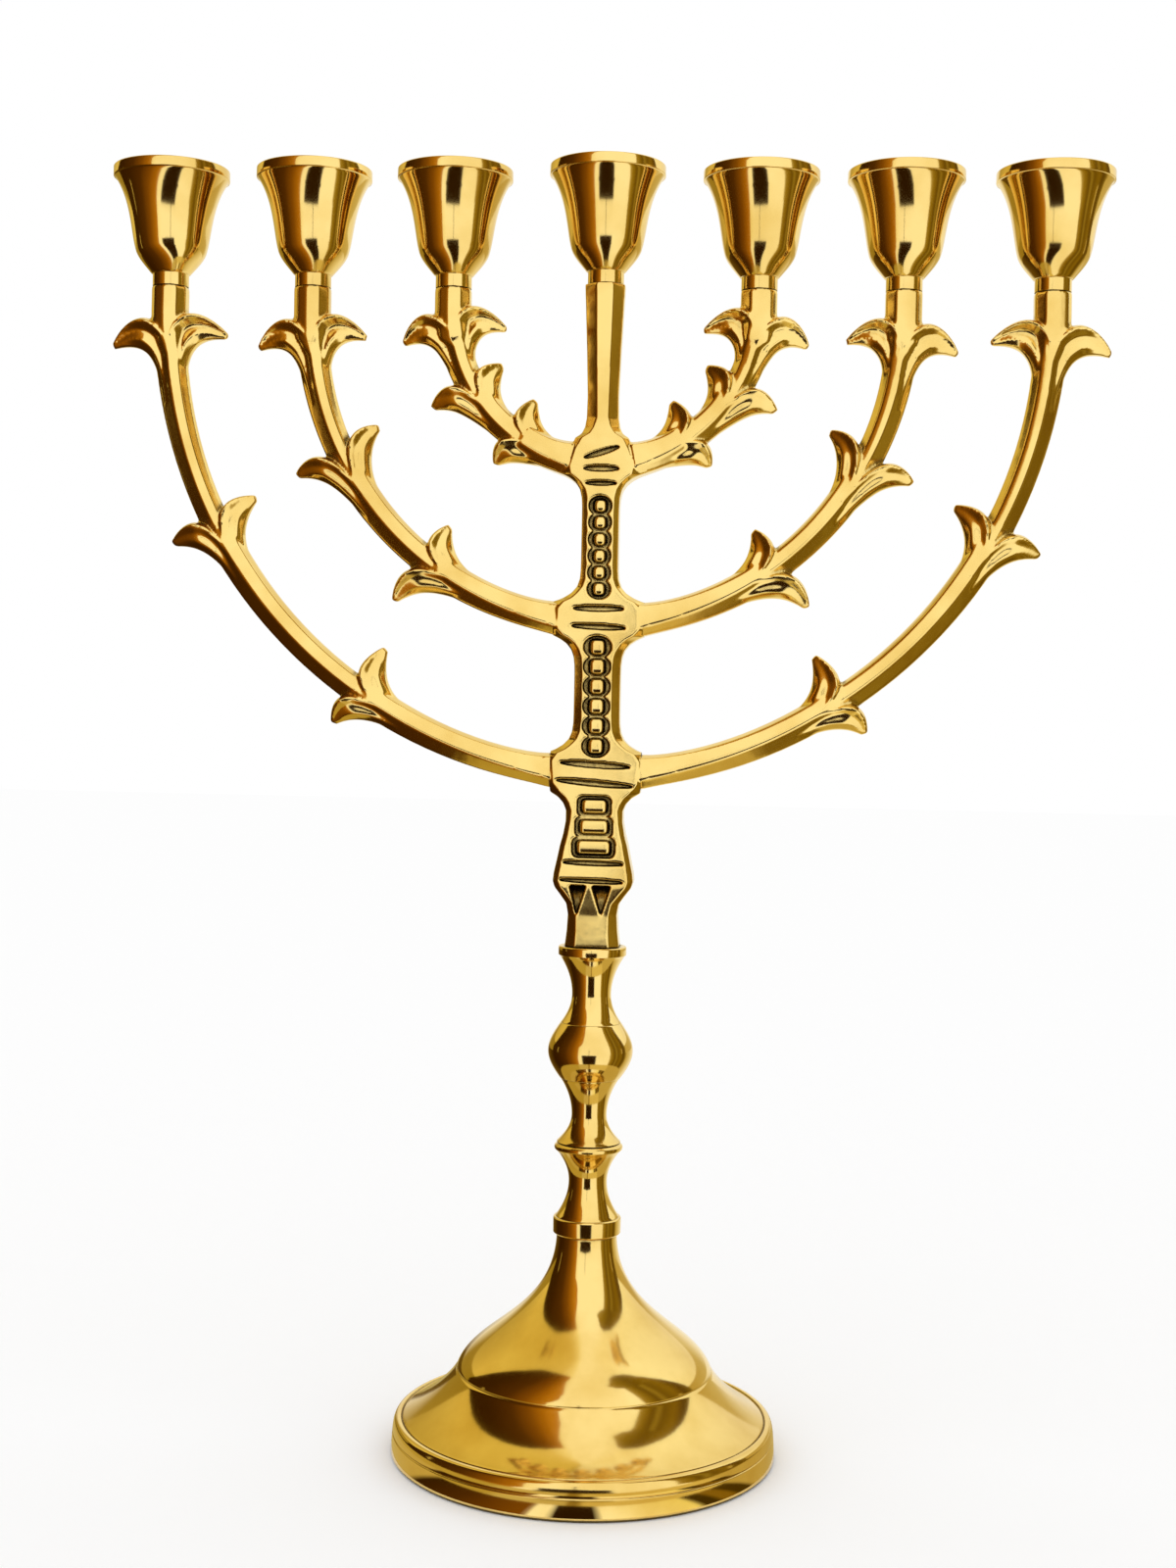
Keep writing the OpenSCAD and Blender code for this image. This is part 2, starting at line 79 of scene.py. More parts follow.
# ---- Patina and polish ----------------------------------------------------------------
# Every brass piece is buffed bright on its high places and keeps a brown-black patina
# where the buffing wheel can't reach. The group puts out the colour, the roughness and
# the height of the fine marks for one piece of brass.
def buffed_brass_group():
    group = bpy.data.node_groups.new("buffed_brass", 'ShaderNodeTree')
    for name, kind, start in (("Bright", 'NodeSocketColor', (0.9, 0.65, 0.22, 1)),
                              ("Worn", 'NodeSocketColor', (0.7, 0.45, 0.1, 1)),
                              ("Patina", 'NodeSocketColor', (0.02, 0.008, 0.001, 1)),
                              ("Reach", 'NodeSocketFloat', 0.002),
                              ("Patina Amount", 'NodeSocketFloat', 1.0),
                              ("Polish", 'NodeSocketFloat', 0.12),
                              ("Waviness", 'NodeSocketFloat', 0.3)):
        socket = group.interface.new_socket(name=name, in_out='INPUT', socket_type=kind)
        socket.default_value = start
    for name, kind in (("Color", 'NodeSocketColor'), ("Roughness", 'NodeSocketFloat'),
                       ("Height", 'NodeSocketFloat')):
        group.interface.new_socket(name=name, in_out='OUTPUT', socket_type=kind)
    n, link = group.nodes, group.links.new
    inp, out = n.new("NodeGroupInput"), n.new("NodeGroupOutput")
    place = n.new("ShaderNodeTexCoord")

    # broad clouds of tone, where hands and polish have worked unevenly
    clouds = n.new("ShaderNodeTexNoise")
    clouds.inputs["Scale"].default_value = 55.0
    clouds.inputs["Detail"].default_value = 4.0
    link(place.outputs["Object"], clouds.inputs["Vector"])
    tone = n.new("ShaderNodeMapRange")
    tone.inputs["From Min"].default_value, tone.inputs["From Max"].default_value = 0.42, 0.72
    link(clouds.outputs["Fac"], tone.inputs["Value"])
    base = n.new("ShaderNodeMix")
    base.data_type = 'RGBA'
    link(tone.outputs["Result"], base.inputs["Factor"])
    link(inp.outputs["Bright"], base.inputs["A"])
    link(inp.outputs["Worn"], base.inputs["B"])

    # patina settles in corners: how shut in a spot is, broken up by fine noise
    corners = n.new("ShaderNodeAmbientOcclusion")
    corners.samples = 8
    link(inp.outputs["Reach"], corners.inputs["Distance"])
    grime = n.new("ShaderNodeTexNoise")
    grime.inputs["Scale"].default_value = 900.0
    grime.inputs["Detail"].default_value = 3.0
    link(place.outputs["Object"], grime.inputs["Vector"])
    grime_share = 0.2
    shift = n.new("ShaderNodeMath")
    shift.operation = 'MULTIPLY_ADD'
    shift.inputs[1].default_value, shift.inputs[2].default_value = grime_share, -grime_share / 2
    link(grime.outputs["Fac"], shift.inputs[0])
    mixed = n.new("ShaderNodeMath")
    mixed.operation = 'ADD'
    link(corners.outputs["AO"], mixed.inputs[0])
    link(shift.outputs[0], mixed.inputs[1])
    dark = n.new("ShaderNodeMapRange")
    dark.interpolation_type = 'SMOOTHSTEP'
    dark.inputs["From Min"].default_value, dark.inputs["From Max"].default_value = 0.80, 0.52
    link(mixed.outputs[0], dark.inputs["Value"])
    amount = n.new("ShaderNodeMath")
    amount.operation = 'MULTIPLY'
    link(dark.outputs["Result"], amount.inputs[0])
    link(inp.outputs["Patina Amount"], amount.inputs[1])
    colour = n.new("ShaderNodeMix")
    colour.data_type = 'RGBA'
    link(amount.outputs[0], colour.inputs["Factor"])
    link(base.outputs["Result"], colour.inputs["A"])
    link(inp.outputs["Patina"], colour.inputs["B"])
    link(colour.outputs["Result"], out.inputs["Color"])

    # patina is dull, the rest varies a little round the polish
    polish_spread, patina_dullness = 0.06, 0.55
    rough = n.new("ShaderNodeMath")
    rough.operation = 'MULTIPLY_ADD'
    rough.inputs[1].default_value = polish_spread
    link(clouds.outputs["Fac"], rough.inputs[0])
    link(inp.outputs["Polish"], rough.inputs[2])
    dull = n.new("ShaderNodeMix")
    link(amount.outputs[0], dull.inputs["Factor"])
    link(rough.outputs[0], dull.inputs["A"])
    dull.inputs["B"].default_value = patina_dullness
    link(dull.outputs["Result"], out.inputs["Roughness"])

    # slow waves left by hand buffing
    waves = n.new("ShaderNodeTexNoise")
    waves.inputs["Scale"].default_value = 160.0
    waves.inputs["Detail"].default_value = 2.0
    link(place.outputs["Object"], waves.inputs["Vector"])
    wavy = n.new("ShaderNodeMath")
    wavy.operation = 'MULTIPLY'
    link(waves.outputs["Fac"], wavy.inputs[0])
    link(inp.outputs["Waviness"], wavy.inputs[1])
    link(wavy.outputs[0], out.inputs["Height"])
    return group


buffed_brass = buffed_brass_group()


def brass_material(name, **values):
    """A brass whose colour, dullness and fine marks come from the buffed_brass group."""
    material = bpy.data.materials.new(name)
    material.use_nodes = True
    nodes, link = material.node_tree.nodes, material.node_tree.links.new
    shader = nodes["Principled BSDF"]
    shader.inputs["Metallic"].default_value = 1.0
    group = nodes.new("ShaderNodeGroup")
    group.node_tree = buffed_brass
    for socket, value in values.items():
        group.inputs[socket.replace("_", " ")].default_value = value
    bump = nodes.new("ShaderNodeBump")
    bump.inputs["Strength"].default_value = 0.25
    bump.inputs["Distance"].default_value = 0.0004
    link(group.outputs["Color"], shader.inputs["Base Color"])
    link(group.outputs["Roughness"], shader.inputs["Roughness"])
    link(group.outputs["Height"], bump.inputs["Height"])
    link(bump.outputs["Normal"], shader.inputs["Normal"])
    return material


turned_brass = brass_material("turned_brass", Polish=0.07, Waviness=0.15, Patina_Amount=0.8,
                              Bright=(0.93, 0.68, 0.23, 1), Worn=(0.80, 0.54, 0.14, 1))


# ---- Base -----------------------------------------------------------------------------
# A spun brass bell, hollow underneath, with an upright rim, a turned line above it, a
# concave flare, a step at the shoulder, and a bell that sweeps up to a narrow neck. The
# neck is solid and bored for the tie rod.
def curve_points(a, b, c, d, steps):
    """Points along a smooth curve from a to d, pulled towards b and c."""
    out = []
    for i in range(steps + 1):
        t = i / steps
        out.append(tuple((1 - t) ** 3 * a[k] + 3 * t * (1 - t) ** 2 * b[k]
                         + 3 * t * t * (1 - t) * c[k] + t ** 3 * d[k] for k in range(2)))
    return out


def finish_piece(name, bm, body, material):
    """Turns a bmesh into a smooth-shaded piece that rides on a body."""
    mesh = bpy.data.meshes.new(name)
    for face in bm.faces:
        face.smooth = True
    bm.to_mesh(mesh)
    bm.free()
    mesh.materials.append(material)
    piece = bpy.data.objects.new(name, mesh)
    bpy.context.scene.collection.objects.link(piece)
    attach(piece, body)
    return piece


def turn_on_lathe(name, outline, centre_mm, body, closed=True, ease=0.1, turns=160):
    """Spins an outline of (radius, height) in mm round an upright axis, its corners eased."""
    bm = bmesh.new()
    verts = [bm.verts.new((r / 1000, 0, z / 1000)) for r, z in outline]
    for pair in zip(verts, verts[1:]):
        bm.edges.new(pair)
    if closed:
        bm.edges.new((verts[-1], verts[0]))
    sharp, shortest_leg = math.radians(155), 2.2 * ease / 1000
    corners = []
    for v in verts:
        if len(v.link_edges) == 2:
            legs = [(e.other_vert(v).co - v.co) for e in v.link_edges]
            if legs[0].angle(legs[1]) < sharp and min(leg.length for leg in legs) > shortest_leg:
                corners.append(v)
    bmesh.ops.bevel(bm, geom=corners, offset=ease / 1000, affect='VERTICES', segments=3,
                    profile=0.5, material=-1)
    bmesh.ops.spin(bm, geom=bm.verts[:] + bm.edges[:], cent=(0, 0, 0), axis=(0, 0, 1),
                   angle=2 * math.pi, steps=turns, use_merge=True)
    bmesh.ops.remove_doubles(bm, verts=bm.verts, dist=1e-6)
    bmesh.ops.recalc_face_normals(bm, faces=bm.faces)
    bmesh.ops.translate(bm, verts=bm.verts, vec=[c / 1000 for c in centre_mm])
    return finish_piece(name, bm, body, turned_brass)


def height_of(node):
    """Lowest and highest point of a CAD node, in millimetres."""
    low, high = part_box(node)
    return low[2] * 1000, high[2] * 1000


base_top = height_of("base_bell")[1]
rim_r, flare_r, shoulder_r, neck_r, rod_r = 53.2, 49.9, 35.25, 8.35, 3.05
shoulder_z, land_z, wall = 23.5, base_top - 14, 2.4
flare = curve_points((flare_r, 10.1), (flare_r - 6.2, 13.4), (shoulder_r + 3.2, 18.0),
                     (shoulder_r + 0.15, 23.2), 24)
bell = curve_points((shoulder_r, shoulder_z + 0.2), (shoulder_r - 4, 34.0),
                    (neck_r + 0.3, base_top - 21.8), (neck_r, base_top), 48)
lip = curve_points((rim_r - 0.4, 6.5), (rim_r - 0.65, 9.4), (rim_r - 1.1, 10.15),
                   (flare_r + 0.7, 10.15), 10)
outer = ([(rim_r - 0.7, 0), (rim_r, 0.8), (rim_r - 0.35, 5.9), (rim_r - 0.65, 6.1)] + lip
         + [(flare_r + 0.3, 9.6)] + flare + [(shoulder_r - 0.08, 23.3)] + bell)
drop, foot_r = 0.8 * wall, rim_r - 2 * wall
under = [(r - wall, z - drop) for r, z in flare + bell if z - drop < land_z - 1]
base_outline = ([(foot_r, 0)] + outer
                + [(rod_r, base_top), (rod_r, land_z), (under[-1][0] - 0.3, land_z)]
                + under[::-1] + [(foot_r, 5)])
spun_base = turn_on_lathe("spun_base", base_outline, (0, 0, 0), "stand", ease=0.12)
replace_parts(spun_base, "base_bell")


# ---- Column ---------------------------------------------------------------------------
# Five turned brass pieces threaded on the rod like beads: a plain collar, two waisted
# spools with a ring between them, a round knop, and an upper spool with a flat disc that
# the cast head stands on.
def waist(r0, narrow, r1, z0, z1, at, steps=24):
    """Outline of a waisted stretch from radius r0 to r1, narrowest part-way up."""
    out = []
    for i in range(steps + 1):
        t = i / steps
        if t < at:
            r = narrow + (r0 - narrow) * (1 - t / at) ** 2
        else:
            r = narrow + (r1 - narrow) * ((t - at) / (1 - at)) ** 2
        out.append((r, z0 + (z1 - z0) * t))
    return out


def column_piece(name, node, outline):
    """A turned piece of the column, bored for the rod."""
    bottom, top = height_of(node)
    outline = [(rod_r, bottom)] + outline + [(rod_r, top)]
    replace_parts(turn_on_lathe(name, outline, (0, 0, 0), "stand"), node)


z0, z1 = height_of("foot_collar")
column_piece("turned_collar", "foot_collar",
             [(9.05, z0), (9.4, z0 + 0.35), (9.4, z1 - 0.35), (9.05, z1)])
z0, z1 = height_of("lower_spool")
column_piece("turned_lower_spool", "lower_spool",
             waist(8.8, 5.3, 8.4, z0, z1 - 3.0, 0.55)
             + [(8.9, z1 - 2.5), (9.4, z1 - 2.0), (9.5, z1 - 1.5), (9.4, z1 - 1.0), (8.3, z1)])
z0, z1 = height_of("middle_spool")
column_piece("turned_middle_spool", "middle_spool", waist(8.9, 4.85, 8.2, z0, z1, 0.42))
z0, z1 = height_of("knop")
knop_r, knop_swell, knop_steps = 8.35, 3.4, 40
column_piece("turned_knop", "knop",
             [(knop_r + knop_swell * math.sin(math.pi * (i / knop_steps) ** 0.98),
               z0 + (z1 - z0) * i / knop_steps) for i in range(knop_steps + 1)])
z0, z1 = height_of("upper_spool")
column_piece("turned_upper_spool", "upper_spool",
             waist(8.35, 5.4, 9.0, z0, z1 - 2.7, 0.42)
             + [(9.4, z1 - 2.4), (9.4, z1 - 0.3), (9.1, z1)])


# ---- Candle cups ----------------------------------------------------------------------
# Seven turned brass cups. Each has a short neck, a cone that opens into a bell-shaped
# body, a flat band round its rim, and a plain socket for the candle. The left outer cup
# is number 1 and the right outer cup is number 7.
def cup_outline(height):
    """Outline of one cup with its stud hole and its socket, from its seat up."""
    rim, lip, heel, neck = 15.8, 2.75, 8.3, 4.95
    stud_r, stud_top, socket, socket_floor = 2.55, 8.5, 9.65, 13
    body = (curve_points((neck + 0.35, 3.5), (neck + 2.2, 5.7), (rim - 6.6, heel - 0.5),
                         (rim - 6.1, heel + 1.6), 10)
            + curve_points((rim - 6.05, heel + 1.8), (rim - 4.8, heel + 6.2),
                           (rim - 4.7, height - 9.0), (rim - 0.45, height - lip), 32))
    band = [(rim - 0.05, height - lip + 0.05), (rim, height - lip + 0.2), (rim, height - 0.25),
            (rim - 0.25, height)]
    mouth = curve_points((socket, 22.5), (socket, 26.5), (rim - 4.5, height - 4.2),
                         (rim - 1.4, height), 20)
    return ([(0, stud_top), (stud_r, stud_top), (stud_r, 0), (neck, 0), (neck, 3.4)] + body
            + band + mouth[::-1] + [(socket, socket_floor), (0, socket_floor)])


for number in range(1, 8):
    (x0, _, seat), (x1, _, rim_z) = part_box(f"candle_cup_{number}")
    cup = turn_on_lathe(f"turned_cup_{number}", cup_outline((rim_z - seat) * 1000),
                        ((x0 + x1) * 500, 0, seat * 1000), f"cup_{number}",
                        closed=False, turns=96)
    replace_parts(cup, f"candle_cup_{number}")


# ---- Cast head: arms ------------------------------------------------------------------
# The head is one brass casting from a two-part sand mould, alike in front and behind: a
# stem and six curved arms, buffed by hand. Each arm is three stalks long, and each stalk
# has a long ridge whose two slopes part at its end into two curling leaves.
foot_z, stem_top = height_of("head_stem")
seat_z = height_of("branch_left_outer")[1]
cast_brass = brass_material("cast_brass", Polish=0.10, Waviness=0.45, Patina_Amount=1.0,
                            Reach=0.003, Bright=(0.93, 0.68, 0.22, 1),
                            Worn=(0.80, 0.53, 0.13, 1))


def push_out(bm, rings):
    """Pushes a closed section through rings of points in mm, like wax through a die."""
    rings = [[Vector(p) / 1000 for p in ring] for ring in rings]
    face = bm.faces.new([bm.verts.new(p) for p in rings[0]])
    for before, after in zip(rings, rings[1:]):
        grown = bmesh.ops.extrude_face_region(bm, geom=[face])["geom"]
        if before is not rings[0]:
            bmesh.ops.delete(bm, geom=[face], context='FACES_ONLY')
        face = next(g for g in grown if isinstance(g, bmesh.types.BMFace))
        for vert in face.verts:
            gaps = [(vert.co - spot).length_squared for spot in before]
            vert.co = after[gaps.index(min(gaps))]


class Arm:
    """One curved arm: its reach, how high it starts above the foot of the casting, the post
    left upright under its cup, its bulge half-way, and how far out its root lies."""
    def __init__(self, reach, low, post, bulge, root):
        self.reach, self.low, self.bulge = reach, low, bulge
        self.rise = seat_z - foot_z - post - low
        self.first = math.degrees(math.asin(root / reach))

    def at(self, angle):
        a = math.radians(angle)
        swell = self.bulge * max(0.0, math.sin(math.radians(3 * (angle - 30))))
        return Vector((self.reach * math.sin(a) + swell, 0,
                       foot_z + self.low + self.rise * (1 - math.cos(a))))

    def frame(self, angle):
        """The centre, the way along the arm, and the way outwards across it."""
        a = math.radians(angle)
        along = Vector((self.reach * math.cos(a), 0, self.rise * math.sin(a))).normalized()
        return self.at(angle), along, Vector((along.z, 0, -along.x))


arm_x = [sum(c[0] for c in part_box(f"candle_cup_{n}")) * 500 for n in (7, 6, 5)]
arms = [Arm(arm_x[0], low=47.6, post=2.3, bulge=1.45, root=12.0),
        Arm(arm_x[1], low=89.1, post=8.7, bulge=0.0, root=11.0),
        Arm(arm_x[2], low=132.6, post=6.6, bulge=0.0, root=9.0)]
# each pair of leaves: its angle on the arm, then the tips of the outer and of the inner
# leaf, as (along the arm, across it)
leaf_pairs = [
    [(32.0, (3.7, 11.4), (3.4, 14.2)),
     (59.5, (4.3, 13.4), (4.6, 13.6)),
     (83.0, (3.4, 16.3), (2.7, 16.6))],
    [(33.5, (5.4, 14.2), (4.4, 11.8)),
     (59.0, (7.2, 13.6), (7.4, 13.2)),
     (83.5, (2.9, 15.4), (2.7, 15.3))],
    [(31.0, (3.6, 9.8), (3.2, 11.2)),
     (55.5, (4.9, 12.2), (3.4, 10.6)),
     (77.0, (3.9, 14.4), (1.4, 14.8))],
]
arm_steps, leaf_steps = 46, 16


def leaf(tip, crown):
    """The lower and upper edges of a leaf as (along, across) curves, from its stalk to its tip.

    A crown leaf is one of the two at the top of an arm.
    """
    t, s = tip
    if crown:
        lower = curve_points((-15, 3.5), (-4.0, 3.4), (4.5, 4.6), (t - 0.8, s - 0.6), leaf_steps)
        upper = curve_points((-9, 0.5), (10.5, -3.5), (15.4, 7.8), (t + 0.6, s), leaf_steps)
    else:
        lower = curve_points((-14, 3.6), (-8.0, 3.8), (t - 4.8, 4.6), (t - 1.1, s - 0.4),
                             leaf_steps)
        upper = curve_points((-8, 0.5), (6.0, -1.0), (t + 5.0, 0.4 * s), (t + 0.6, s), leaf_steps)
    return lower, upper


def cast_arm(bm, arm, pairs, side):
    """Adds one arm with its three pairs of leaves. side is 1 on the right and -1 on the left."""
    def ring(frame, points):
        centre, along, across = frame
        spots = [centre + along * t + across * s for t, s, f in points]
        return [(p.x * side, -f, p.z) for p, (t, s, f) in zip(spots, points)]

    def leaf_point(angle, t, s, f):
        """A point of a leaf: the part behind the node follows the curve of the arm."""
        if t < 0:
            step = (arm.at(angle) - arm.at(angle - 1)).length
            left_over = min(0, t + step * (angle - arm.first))
            return ring(arm.frame(max(arm.first, angle + t / step)), [(left_over, s, f)])[0]
        return ring(arm.frame(angle), [(t, s, f)])[0]

    def both_sides(outline):
        return [(0, s, f) for s, f in outline] + [(0, s, -f) for s, f in reversed(outline)]

    def section(half, depth, ridge, inner, edge, fall=0.84):
        """Section of a stalk: a narrow ridge, a steep outer slope and a long inner one."""
        ridge_half, outer_slope = 0.35, 0.82
        outer_edge = max(edge, depth - outer_slope * (half - ridge - ridge_half))
        return both_sides([(half, outer_edge), (ridge + ridge_half, depth),
                           (ridge - ridge_half, depth), (-inner, fall * depth), (-half, edge)])

    # the arm begins level inside the stem and comes out of it thicker than it goes on
    knots = [arm.first] + [pair[0] for pair in pairs]
    level = (Vector((1.5, 0, arm.at(arm.first * 0.15).z)), Vector((1, 0, 0)), Vector((0, 0, -1)))
    rings = [ring(level, section(4.9, 3.4, 1.9, 4.2, 2.0)),
             ring(arm.frame(0.8 * arm.first), section(4.9, 3.9, 1.9, 4.2, 2.0))]
    root_fade, neck_turn = 900, 3
    round_neck = both_sides([(4.95, 1.7), (3.4, 3.8), (0.7, 4.95), (-2.3, 4.5), (-4.95, 1.7)])
    for i in range(arm_steps + 1):
        angle = arm.first + (90 - arm.first) * i / arm_steps
        if angle < knots[3]:
            start, end = next((a, b) for a, b in zip(knots, knots[1:]) if angle < b)
            grow = (angle - start) / (end - start)
            root = math.exp(-(angle - arm.first) * arm.reach / root_fade)
            half = 3.95 + 0.5 * grow ** 2 + 0.8 * root ** 3
            inner = (0.55 if start == knots[2] else 0.78) * half
            shape = section(half, 3.9 + 0.5 * grow + 1.3 * root, 2.1 * root - 0.2, inner,
                            0.85 + 1.25 * root, 0.84 + 0.1 * root)
        else:
            grow = min(1, (angle - knots[3]) / neck_turn)
            stalk = section(4.3, 4.2, 0.3, 2.1, 1.2)
            shape = [(0, s + (round_s - s) * grow, f + (round_f - f) * grow)
                     for (_, s, f), (_, round_s, round_f) in zip(stalk, round_neck)]
        rings.append(ring(arm.frame(angle), shape))
    top = (Vector((arm.reach, 0, seat_z)), Vector((0, 0, 1)), Vector((1, 0, 0)))
    rings.append(ring(top, round_neck))
    push_out(bm, rings)

    # a leaf is thickest past its middle, and a cove runs along it under its upper edge
    for number, (angle, outer_tip, inner_tip) in enumerate(pairs):
        for way, tip in ((1, outer_tip), (-1, inner_tip)):
            lower, upper = leaf(tip, number == 2)
            cove = 0.7 if number < 2 else 0.52 if way > 0 else 0.4
            rings = []
            for i, ((t0, s0), (t1, s1)) in enumerate(zip(lower, upper)):
                u = i / leaf_steps
                if u < 0.6:
                    deep = 3.9 + 1.5 * math.sin(math.pi * min(1, u / 0.8) / 2)
                else:
                    deep = 5.3 - 4.3 * ((u - 0.6) / 0.4) ** 1.5
                edge = min(1.2, 0.5 * deep)
                front = [(t0 + (t1 - t0) * share, way * (s0 + (s1 - s0) * share), f)
                         for share, f in ((0, edge), (0.3, 0.66 * deep), (0.62, cove * deep),
                                          (0.9, deep), (1, 0.55 * deep))]
                back = [(t, s, -f) for t, s, f in reversed(front)]
                rings.append([leaf_point(angle, *p) for p in front + back])
            push_out(bm, rings)


def cut_across(bm, x, keep):
    """Saws the casting at x mm, keeps its right side (1) or its left side (-1) and closes it."""
    bmesh.ops.bisect_plane(bm, geom=bm.verts[:] + bm.edges[:] + bm.faces[:], dist=1e-8,
                           plane_co=(x / 1000, 0, 0), plane_no=(keep, 0, 0), clear_inner=True)
    rim = [e for e in bm.edges if e.is_boundary]
    bmesh.ops.holes_fill(bm, edges=rim, sides=0)
    for edge in rim:
        edge.smooth = False


def blank(bm):
    """Gives a bmesh to an object of its own, so that modifiers can work on it."""
    mesh = bpy.data.meshes.new("blank")
    bm.to_mesh(mesh)
    bm.free()
    obj = bpy.data.objects.new("blank", mesh)
    bpy.context.scene.collection.objects.link(obj)
    return obj


def worked(obj):
    """The shape that the modifiers of a blank leave, as a bmesh. The blank is thrown away."""
    view = bpy.context.evaluated_depsgraph_get()
    done = bmesh.new()
    done.from_mesh(bpy.data.meshes.new_from_object(obj.evaluated_get(view)))
    bpy.data.objects.remove(obj)
    return done


def fused(bm, voxel, strokes, keep=1.0):
    """Fuses overlapping shapes into one skin on a grid of voxel mm, rounds it with some
    strokes of the buffing wheel, and keeps a share of its triangles."""
    bmesh.ops.recalc_face_normals(bm, faces=bm.faces)
    wax = blank(bm)
    fuse = wax.modifiers.new("fuse", 'REMESH')
    fuse.mode, fuse.voxel_size = 'VOXEL', voxel / 1000
    buff = wax.modifiers.new("buff", 'SMOOTH')
    buff.factor, buff.iterations = 0.5, strokes
    thin = wax.modifiers.new("thin", 'DECIMATE')
    thin.ratio = keep
    return worked(wax)


# the arms part from the stem here; both are fused with some to spare before they are sawn
saw_x, spare = 12.4, 2
for arm, pairs, place in zip(arms, leaf_pairs, ("outer", "middle", "inner")):
    for side, word in ((1, "right"), (-1, "left")):
        bm = bmesh.new()
        cast_arm(bm, arm, pairs, side)
        cut_across(bm, side * (saw_x - spare), side)
        bm = fused(bm, voxel=0.36, strokes=12)
        cut_across(bm, side * saw_x, side)
        piece = finish_piece(f"cast_arm_{word}_{place}", bm, "head", cast_brass)
        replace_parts(piece, f"branch_{word}_{place}")


# ---- Cast head: stem ------------------------------------------------------------------
# The stem of the same casting, from the foot up: a short ferrule, three petals, a block
# with three broad beads, and two panels with six beads each, between the plain cross
# pieces that the arms grow from. Channels and grooves keep their black patina.
def waisted(z0, z1, w0, mid, w1, power, steps=18):
    """Half widths between two cross pieces: narrow in the middle, with rounded ends."""
    out = []
    for i in range(steps + 1):
        t = (1 - math.cos(math.pi * i / steps)) / 2
        s = 2 * t - 1
        out.append((z0 + (z1 - z0) * t, mid + ((w0 if s < 0 else w1) - mid) * abs(s) ** power))
    return out


def look_up(at, table):
    """Straight-line value from a table of (height or angle, value)."""
    for (at0, v0), (at1, v1) in zip(table, table[1:]):
        if at <= at1:
            return v0 + (v1 - v0) * max(0.0, at - at0) / (at1 - at0)
    return table[-1][1]


# half widths, half depths, and how far the flat face stops short of the edge, each at a
# height above the foot of the casting
cross = [arm.at(arm.first).z - foot_z for arm in arms]
shaft = cross[2] + 5.0
widths = [(0, 7.5), (4.5, 6.95), (9, 6.7), (12, 7.2), (14.5, 9.0), (16.5, 10.5), (18.2, 11.0),
          (20.2, 10.8), (24, 10.0), (28, 9.2), (31, 8.4), (34.5, 7.8), (37.5, 7.8), (39.4, 8.6),
          (41.0, 10.1), (42.4, 12.4), (cross[0] - 3.4, 12.7), (cross[0] + 2.8, 13.2)]
widths += waisted(cross[0] + 5.0, cross[1] - 4.7, 13.4, 6.3, 12.4, 6.6)
widths += [(cross[1] - 2.9, 12.4), (cross[1] + 2.7, 12.4)]
widths += waisted(cross[1] + 4.7, cross[2] - 4.5, 12.4, 5.05, 10.4, 7.6)
widths += [(cross[2] - 2.6, 9.8), (cross[2] + 2.4, 8.3), (shaft + 0.5, 7.4), (shaft + 1.8, 5.6),
           (shaft + 3.5, 4.8), (shaft + 6, 4.4), (shaft + 12, 4.25), (shaft + 25, 4.7),
           (stem_top - foot_z, 5.5)]
depths = [(0, 6.9), (9, 6.75), (16.5, 6.95), (20, 6.8), (38, 6.0), (46, 5.4), (cross[2], 5.2),
          (shaft + 8, 4.6), (190, 5.2)]
slopes = [(0, 2.9), (9, 2.3), (18, 1.6), (24, 1.5), (34, 1.3), (40, 1.8), (42.4, 3.0),
          (cross[0] - 3.5, 1.3), (cross[0] + 2.9, 1.3), (cross[0] + 5, 3.0), (cross[0] + 7, 2.3),
          (82, 2.3), (cross[1] - 4.7, 3.0), (cross[1] - 3, 1.3), (cross[1] + 2.8, 1.3),
          (cross[1] + 4.7, 2.9), (97, 1.6), (cross[2] - 6, 1.6), (cross[2] - 4.5, 2.2),
          (cross[2] - 2.7, 1.2), (cross[2] + 2.5, 1.2), (shaft, 1.8)]
stem = bmesh.new()
rings = []
for z, half in widths:
    deep, z_mm = look_up(z, depths), foot_z + z
    if z < shaft:
        flat = half - look_up(z, slopes)
    else:
        flat = look_up(z, [(shaft, half - 1.6), (shaft + 6, 1.4), (182, 2.2)])
    edge = max(1.6, deep - 0.9 * (half - flat))
    front = [(half, edge), (flat, deep), (-flat, deep), (-half, edge)]
    rings.append([(x, -y, z_mm) for x, y in front] + [(x, y, z_mm) for x, y in reversed(front)])
push_out(stem, rings)

carving = bmesh.new()


